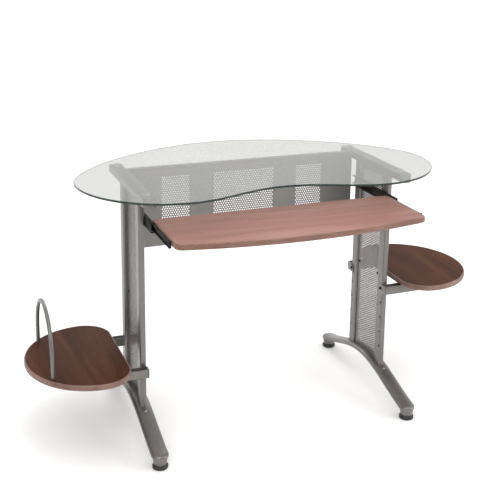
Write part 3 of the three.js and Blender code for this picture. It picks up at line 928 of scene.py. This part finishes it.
def modesty_panel():
    """A sheet with three perforated windows, folded to the rear along its top and bottom."""
    low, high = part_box("modesty_panel")
    sheet = 1.6 * MM
    y = low.y + sheet / 2
    bend = 2 * MM
    bottom, top = low.z + bend, high.z - bend
    seam = 140.5 * MM
    wide = 103 * MM
    narrow_inner, narrow_outer = 179 * MM, 272 * MM
    edges = [low.x, -seam, seam, high.x]
    windows = [(-narrow_outer, -narrow_inner), (-wide, wide), (narrow_inner, narrow_outer)]
    build = Build()
    for left, right, window in zip(edges, edges[1:], windows):
        window = (*window, 556 * MM, 728 * MM)
        sheet_region(build, (left, right, bottom, top), window, lambda u, v: (u, y, v))
    for level, outward in ((bottom, -1), (top, 1)):
        profile = []
        for angle in quarter_steps(4):
            turned_in = bend * (1 - math.cos(angle))
            profile.append((y + turned_in, level + outward * bend * math.sin(angle)))
        profile.append((high.y, level + outward * bend))
        for near, far in zip(profile, profile[1:]):
            for left, right in zip(edges, edges[1:]):
                corners = ((left, *near), (right, *near), (right, *far), (left, *far))
                build.face([build.point(corner) for corner in corners])
    piece = build.finish("modesty_sheet", [PAINT], smooth=False)
    thicken(piece, sheet)
    painted(piece, "modesty_panel")


def cross_rail():
    """The tie between the legs, a square tube."""
    low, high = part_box("rear_cross_rail")
    centre = (low + high) / 2
    size = high - low
    walls = 3.2 * MM
    outer = rounded_rectangle(size.y, size.z, 2.4 * MM, 5, centre.y, centre.z)
    inner = rounded_rectangle(size.y - walls, size.z - walls, 1.2 * MM, 5, centre.y, centre.z)
    ends = ((low.x, outer), (high.x, outer), (high.x, inner), (low.x, inner))
    rings = [[(x, y, z) for y, z in ring] for x, ring in ends]
    painted(skin("tie_rail", rings, PAINT, closed=True), "rear_cross_rail")


def modesty_brackets():
    """Angles that hold the modesty panel to the rear posts, with two screws each."""
    plate = 2.5 * MM
    for side, sign in SIDES:
        node = f"modesty_bracket_{side}"
        low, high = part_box(node)
        inner_x, outer_x = sideways(low, high, sign)
        angle = [
            (outer_x, low.y),
            (outer_x, high.y),
            (inner_x, high.y),
            (inner_x, high.y - plate),
            (outer_x - plate, high.y - plate),
            (outer_x - plate, low.y),
        ]
        rings = section_along_z(mirrored(angle, sign), low.z, high.z)
        piece = skin(f"panel_angle_{side}", rings, PAINT)
        soften(piece, 0.5 * MM)
        painted(piece, node)
        for number, z in enumerate((low.z + 8 * MM, high.z - 8 * MM)):
            spot = Vector((sign * (outer_x - plate), low.y + 18 * MM, z))
            name = f"panel_angle_screw_{side}_{number}"
            screw = button_head(name, spot, Vector((-sign, 0, 0)), 4 * MM, 2.2 * MM)
            stand_for(screw, FRAME, "black_steel")


# ---------------------------------------------------------- fasteners
def button_head(name, place, direction, radius, height, shank=0.0, material=None):
    """A round-headed bolt with a hexagon socket. Place is under the head, direction points out."""
    side = direction.orthogonal().normalized()
    other = direction.cross(side)
    socket = radius * 0.42
    neck = radius * 0.42
    head = [(0.97, 0), (1, 0.08), (1, 0.22), (0.95, 0.5), (0.84, 0.76), (0.68, 0.93), (0.54, 1)]
    corners = turns(36)

    def spot(angle, size, level):
        return place + direction * level + (side * math.cos(angle) + other * math.sin(angle)) * size

    def ring(size, level):
        return [spot(angle, size, level) for angle in corners]

    def hexagon(level):
        sixth = math.pi / 3
        reach = [socket / math.cos(angle % sixth - sixth / 2) for angle in corners]
        return [spot(angle, size, level) for angle, size in zip(corners, reach)]

    rings = [ring(radius * 0.4, -shank), ring(neck, -shank * 0.96)] if shank else []
    rings += [ring(neck, 0.0)]
    rings += [ring(radius * share, height * level) for share, level in head]
    rings += [hexagon(height), hexagon(height * 0.35)]
    return skin(name, rings, material or BLACK, sharp=35)


def panel_screws():
    for side, sign, end, _ in CORNERS:
        node = f"side_panel_screw_{side}_{end}"
        centre = middle(node)
        face, _ = sideways(*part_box(f"side_panel_{side}"), sign)
        spot = Vector((sign * (face - 0.3 * MM), centre.y, centre.z))
        inward = Vector((-sign, 0, 0))
        screw = button_head(f"leg_screw_{side}_{end}", spot, inward, 4 * MM, 2.4 * MM, 5 * MM)
        stand_for(screw, FRAME, "black_steel", node)


def foot_bolts():
    """Their heads stand square to the sloping top of the foot."""
    bolt_y = 120 * MM
    for side, _, end, along in CORNERS:
        _, _, centre, base_z = foot_place(side)
        height, slope = foot_line(along * bolt_y, base_z)
        up = Vector((0, -slope, 1)).normalized()
        on_line = Vector((centre.x, centre.y + along * bolt_y, height))
        spot = on_line + up * (FOOT_HALF_THICKNESS + 0.2 * MM)
        name = f"foot_screw_{side}_{end}"
        screw = button_head(name, spot, up, 5 * MM, 3 * MM, 8 * MM, STEEL)
        stand_for(screw, FRAME, "bright_steel", f"foot_bolt_{side}_{end}")


# ---------------------------------------------------------- keyboard tray and slides
def tray_outline(low, high):
    """A straight rear edge, soft front corners and a bowed front edge."""
    half = (high.x - low.x) / 2
    corner = 18 * MM
    bow = 43 * MM
    radius = (half ** 2 + bow ** 2) / (2 * bow)
    centre = (0, low.y + radius)
    reach = half - corner
    lean = math.asin(reach / radius)
    bow_y = centre[1] - math.sqrt(radius ** 2 - reach ** 2)
    side_y = low.y + bow + corner
    handle = 0.55 * corner
    bend_y = bow_y + 2 * MM
    small = 12 * MM
    rear = high.y - small
    front = [(reach, bow_y), (reach + handle, bend_y), (half, side_y - handle), (half, side_y)]
    points = arc(centre, radius, radius, -QUARTER - lean, -QUARTER + lean, 48)
    points += bezier(*front, 12)
    points += [(half, side_y), *arc((half - small, rear), small, small, 0, QUARTER, 8)]
    points += [*arc((-half + small, rear), small, small, QUARTER, math.pi, 8), (-half, rear)]
    points += bezier(*mirrored(reversed(front), -1), 12)
    return points


def tray_board():
    low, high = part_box("tray_board")
    piece = slab("tray_panel", tray_outline(low, high), low, high, [TRAY_WOOD, TRAY_EDGE])
    stand_for(piece, TRAY, "tray_wood", "tray_board")


def slides():
    """A fixed channel on the posts, a smaller one on the tray with its end stop, and the balls."""
    sheet = 1.5 * MM
    lip = 2.6 * MM
    for side, sign in SIDES:
        low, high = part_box(f"slide_fixed_{side}")
        mouth, outer_x = sideways(low, high, sign)
        z, half = (low.z + high.z) / 2, (high.z - low.z) / 2
        upper = [
            (outer_x, half),
            (mouth, half),
            (mouth, half - lip),
            (mouth + sheet, half - lip),
            (mouth + sheet, half - sheet),
            (outer_x - sheet, half - sheet),
        ]
        lower = [(x, -dz) for x, dz in reversed(upper)]
        fixed = [lower[-1], *upper, *lower[:-1]]
        channel(f"slide_outer_{side}", fixed, sign, z, low.y, high.y, FRAME, f"slide_fixed_{side}")
        low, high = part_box(f"slide_moving_{side}")
        inner_x, depth = sideways(low, high, sign)
        half = (high.z - low.z) / 2
        moving = [
            (inner_x, -half),
            (depth, -half),
            (depth, -half + sheet),
            (inner_x + sheet, -half + sheet),
            (inner_x + sheet, half - sheet),
            (depth, half - sheet),
            (depth, half),
            (inner_x, half),
        ]
        channel(f"slide_inner_{side}", moving, sign, z, low.y, high.y, TRAY, f"slide_moving_{side}")
        proud = depth + 1 * MM
        crest = half + 3 * MM
        stop = [(inner_x, -half), (proud, -half), (proud, half * 0.3)]
        stop += [(depth, crest), (inner_x, crest)]
        channel(f"slide_stop_{side}", stop, sign, z, low.y - 3 * MM, low.y - 0.5 * MM, TRAY)
        ball_cage(side, sign, z)


def channel(name, section, sign, z, low_y, high_y, body, *nodes):
    """Folded sheet of one section all along, drawn for the right side."""
    rings = section_along_y([(sign * x, z + dz) for x, dz in section], low_y, high_y)
    piece = skin(name, rings, BLACK)
    soften(piece, 0.35 * MM)
    stand_for(piece, body, "black_steel", *nodes)


def ball_cage(side, sign, z):
    """A folded strip with a row of balls along its top and bottom flanges."""
    node = f"slide_ball_cage_{side}"
    low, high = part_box(node)
    mouth, back = sideways(low, high, sign)
    outer, inner, web = 11.5 * MM, 9.4 * MM, 0.8 * MM
    strip = [
        (back, -outer),
        (back, outer),
        (mouth, outer),
        (mouth, inner),
        (back - web, inner),
        (back - web, -inner),
        (mouth, -inner),
        (mouth, -outer),
    ]
    build = Build()
    build.loft(section_along_y([(sign * x, z + dz) for x, dz in strip], low.y, high.y))
    radius = 1.45 * MM
    ball_x = sign * (mouth + 2.2 * MM)
    count = 13
    tilts = [math.pi * min(max(step / 8, 0.00625), 0.994) for step in range(9)]
    for level in (-1, 1):
        ball_z = z + level * (outer + inner) / 2
        for at in range(count):
            y = low.y + (at + 0.5) * (high.y - low.y) / count
            rings = []
            for tilt in tilts:
                ring = circle(radius * math.sin(tilt), 14, ball_x, y)
                rings.append(lift(ring, ball_z - radius * math.cos(tilt)))
            build.loft(rings)
    piece = build.finish(f"ball_strip_{side}", [STEEL])
    stand_for(piece, CAGES, "bright_steel", node)


# ---------------------------------------------------------- shelves
def shelf_outline(low, high, sign):
    """A straight edge beside the leg, soft inner corners and a half ellipse outside."""
    inner, outer = sideways(low, high, sign)
    y = (low.y + high.y) / 2
    radius_x, radius_y = 193 * MM, (high.y - low.y) / 2
    centre = outer - radius_x
    straight = 124 * MM
    bent = straight + 41 * MM
    drawn_in = centre - 52 * MM
    points = arc((centre, y), radius_x, radius_y, -QUARTER, QUARTER, 72)
    rear = [(centre, radius_y), (drawn_in, radius_y), (inner, bent), (inner, straight)]
    points += bezier(*[(px, y + py) for px, py in rear], 20)
    points += bezier(*[(px, y - py) for px, py in reversed(rear)], 20)
    return points if sign > 0 else mirrored(reversed(points), -1)


def shelf_arm(name, node, sign, along):
    """An open channel with a rounded underside, welded to an ear on the post's inner face."""
    low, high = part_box(node)
    ear = 2.5 * MM
    wall = 2 * MM
    width = 22 * MM
    inner_x, outer_x = sideways(low, high, sign)
    near_y, far_y = (low.y, high.y) if along > 0 else (high.y, low.y)
    centre_y = far_y - along * width / 2
    length = outer_x - inner_x - ear
    centre_x = sign * (inner_x + ear + length / 2)
    outer = rounded_rectangle(length, width, 3 * MM, 4, centre_x, centre_y)
    hollow = (length - 2 * wall, width - 2 * wall, 1.2 * MM)
    inner = rounded_rectangle(*hollow, 4, centre_x, centre_y)
    rings = rounded_bottom(outer, low.z, 4 * MM, widest=2.8 * MM)
    rings += [lift(outer, high.z), lift(inner, high.z), lift(inner, low.z + wall)]
    build = Build()
    build.loft(rings)
    slope = 9 * MM
    plate = [
        (near_y, low.z),
        (far_y, low.z),
        (far_y, high.z),
        (near_y + along * 2 * slope, high.z),
        (near_y, high.z - slope),
    ]
    build.loft(section_along_x(plate, sign * inner_x, sign * (inner_x + ear)))
    piece = build.finish(name, [PAINT])
    soften(piece, 0.6 * MM)
    painted(piece, node)


def shelf_bolt(name, node, sign):
    centre = middle(node)
    head = 3.4 * MM
    inner, _ = sideways(*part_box(node), sign)
    spot = Vector((sign * (inner + head), centre.y, centre.z))
    bolt = button_head(name, spot, Vector((-sign, 0, 0)), 5 * MM, head, 16 * MM)
    stand_for(bolt, FRAME, "black_steel", node)


def board_screws(name, node, sign, along):
    """Two screws up through an arm's floor into the board."""
    low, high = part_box(node)
    y = high.y - 11 * MM if along > 0 else low.y + 11 * MM
    for number, share in enumerate((0.42, 0.88)):
        x = low.x + (high.x - low.x) * (share if sign > 0 else 1 - share)
        spot = Vector((x, y, low.z))
        screw = button_head(f"{name}_{number}", spot, Vector((0, 0, -1)), 4.5 * MM, 2.6 * MM)
        stand_for(screw, FRAME, "black_steel")


def shelves():
    """A low shelf on the left, with sockets for the guard loop, and a higher one on the right."""
    for side, sign in SIDES:
        shelf = "cpu_shelf" if side == "left" else "side_shelf"
        node = f"{shelf}_board"
        low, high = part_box(node)
        outline = shelf_outline(low, high, sign)
        board = slab(f"{shelf}_panel", outline, low, high, [SHELF_WOOD_PAINTED_SHADE, SHELF_EDGE])
        if side == "left":
            drill_guard_sockets(board, low.z + 4 * MM, high.z + 5 * MM)
        stand_for(board, FRAME, "shelf_wood", node)
        for end, along in ENDS:
            shelf_arm(f"{shelf}_support_{end}", f"{shelf}_arm_{end}", sign, along)
            shelf_bolt(f"{shelf}_fixing_{end}", f"{shelf}_bolt_{end}", sign)
        for end, along in ENDS:
            board_screws(f"{shelf}_screw_{end}", f"{shelf}_arm_{end}", sign, along)


def guard_places():
    """The loop's box, its tube radius, its middle in x and y, and half its span."""
    low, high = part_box("cpu_guard_loop")
    tube = (high.x - low.x) / 2
    reach = (high.y - low.y) / 2 - tube
    return low, high, tube, (low.x + high.x) / 2, (low.y + high.y) / 2, reach


def drill_guard_sockets(board, low_z, high_z):
    _, _, tube, x, y, reach = guard_places()
    drill = Build()
    for along in (-1, 1):
        ring = circle(tube + 0.3 * MM, 28, x, y + along * reach)
        drill.loft(section_along_z(ring, low_z, high_z))
    cut(board, drill.finish("drill", [SHELF_EDGE]))


def guard_loop():
    """A round tube: two straight legs joined by a half circle."""
    low, high, tube, x, y, reach = guard_places()
    spring_z = high.z - tube - reach
    leg_steps, bend_steps = 6, 48
    leg = [low.z + (spring_z - low.z) * step / leg_steps for step in range(leg_steps + 1)]
    path = [(-reach, z, 0.0) for z in leg]
    for step in range(1, bend_steps + 1):
        angle = math.pi * step / bend_steps
        path.append((-reach * math.cos(angle), spring_z + reach * math.sin(angle), angle))
    path += [(reach, z, math.pi) for z in reversed(leg[:-1])]
    rings = []
    for along, z, turn in path:
        ring = []
        for angle in turns(24):
            out = tube * math.cos(angle)
            ring_y = y + along - math.cos(turn) * out
            ring.append((x + tube * math.sin(angle), ring_y, z + math.sin(turn) * out))
        rings.append(ring)
    painted(skin("guard_tube", rings, PAINT), "cpu_guard_loop")


# ---------------------------------------------------------- assembly
camera()
studio()
glass_top()
glass_pads()
feet()
cups_and_glides()
posts()
top_rails()
side_panels()
modesty_panel()
cross_rail()
modesty_brackets()
panel_screws()
foot_bolts()
tray_board()
slides()
shelves()
guard_loop()
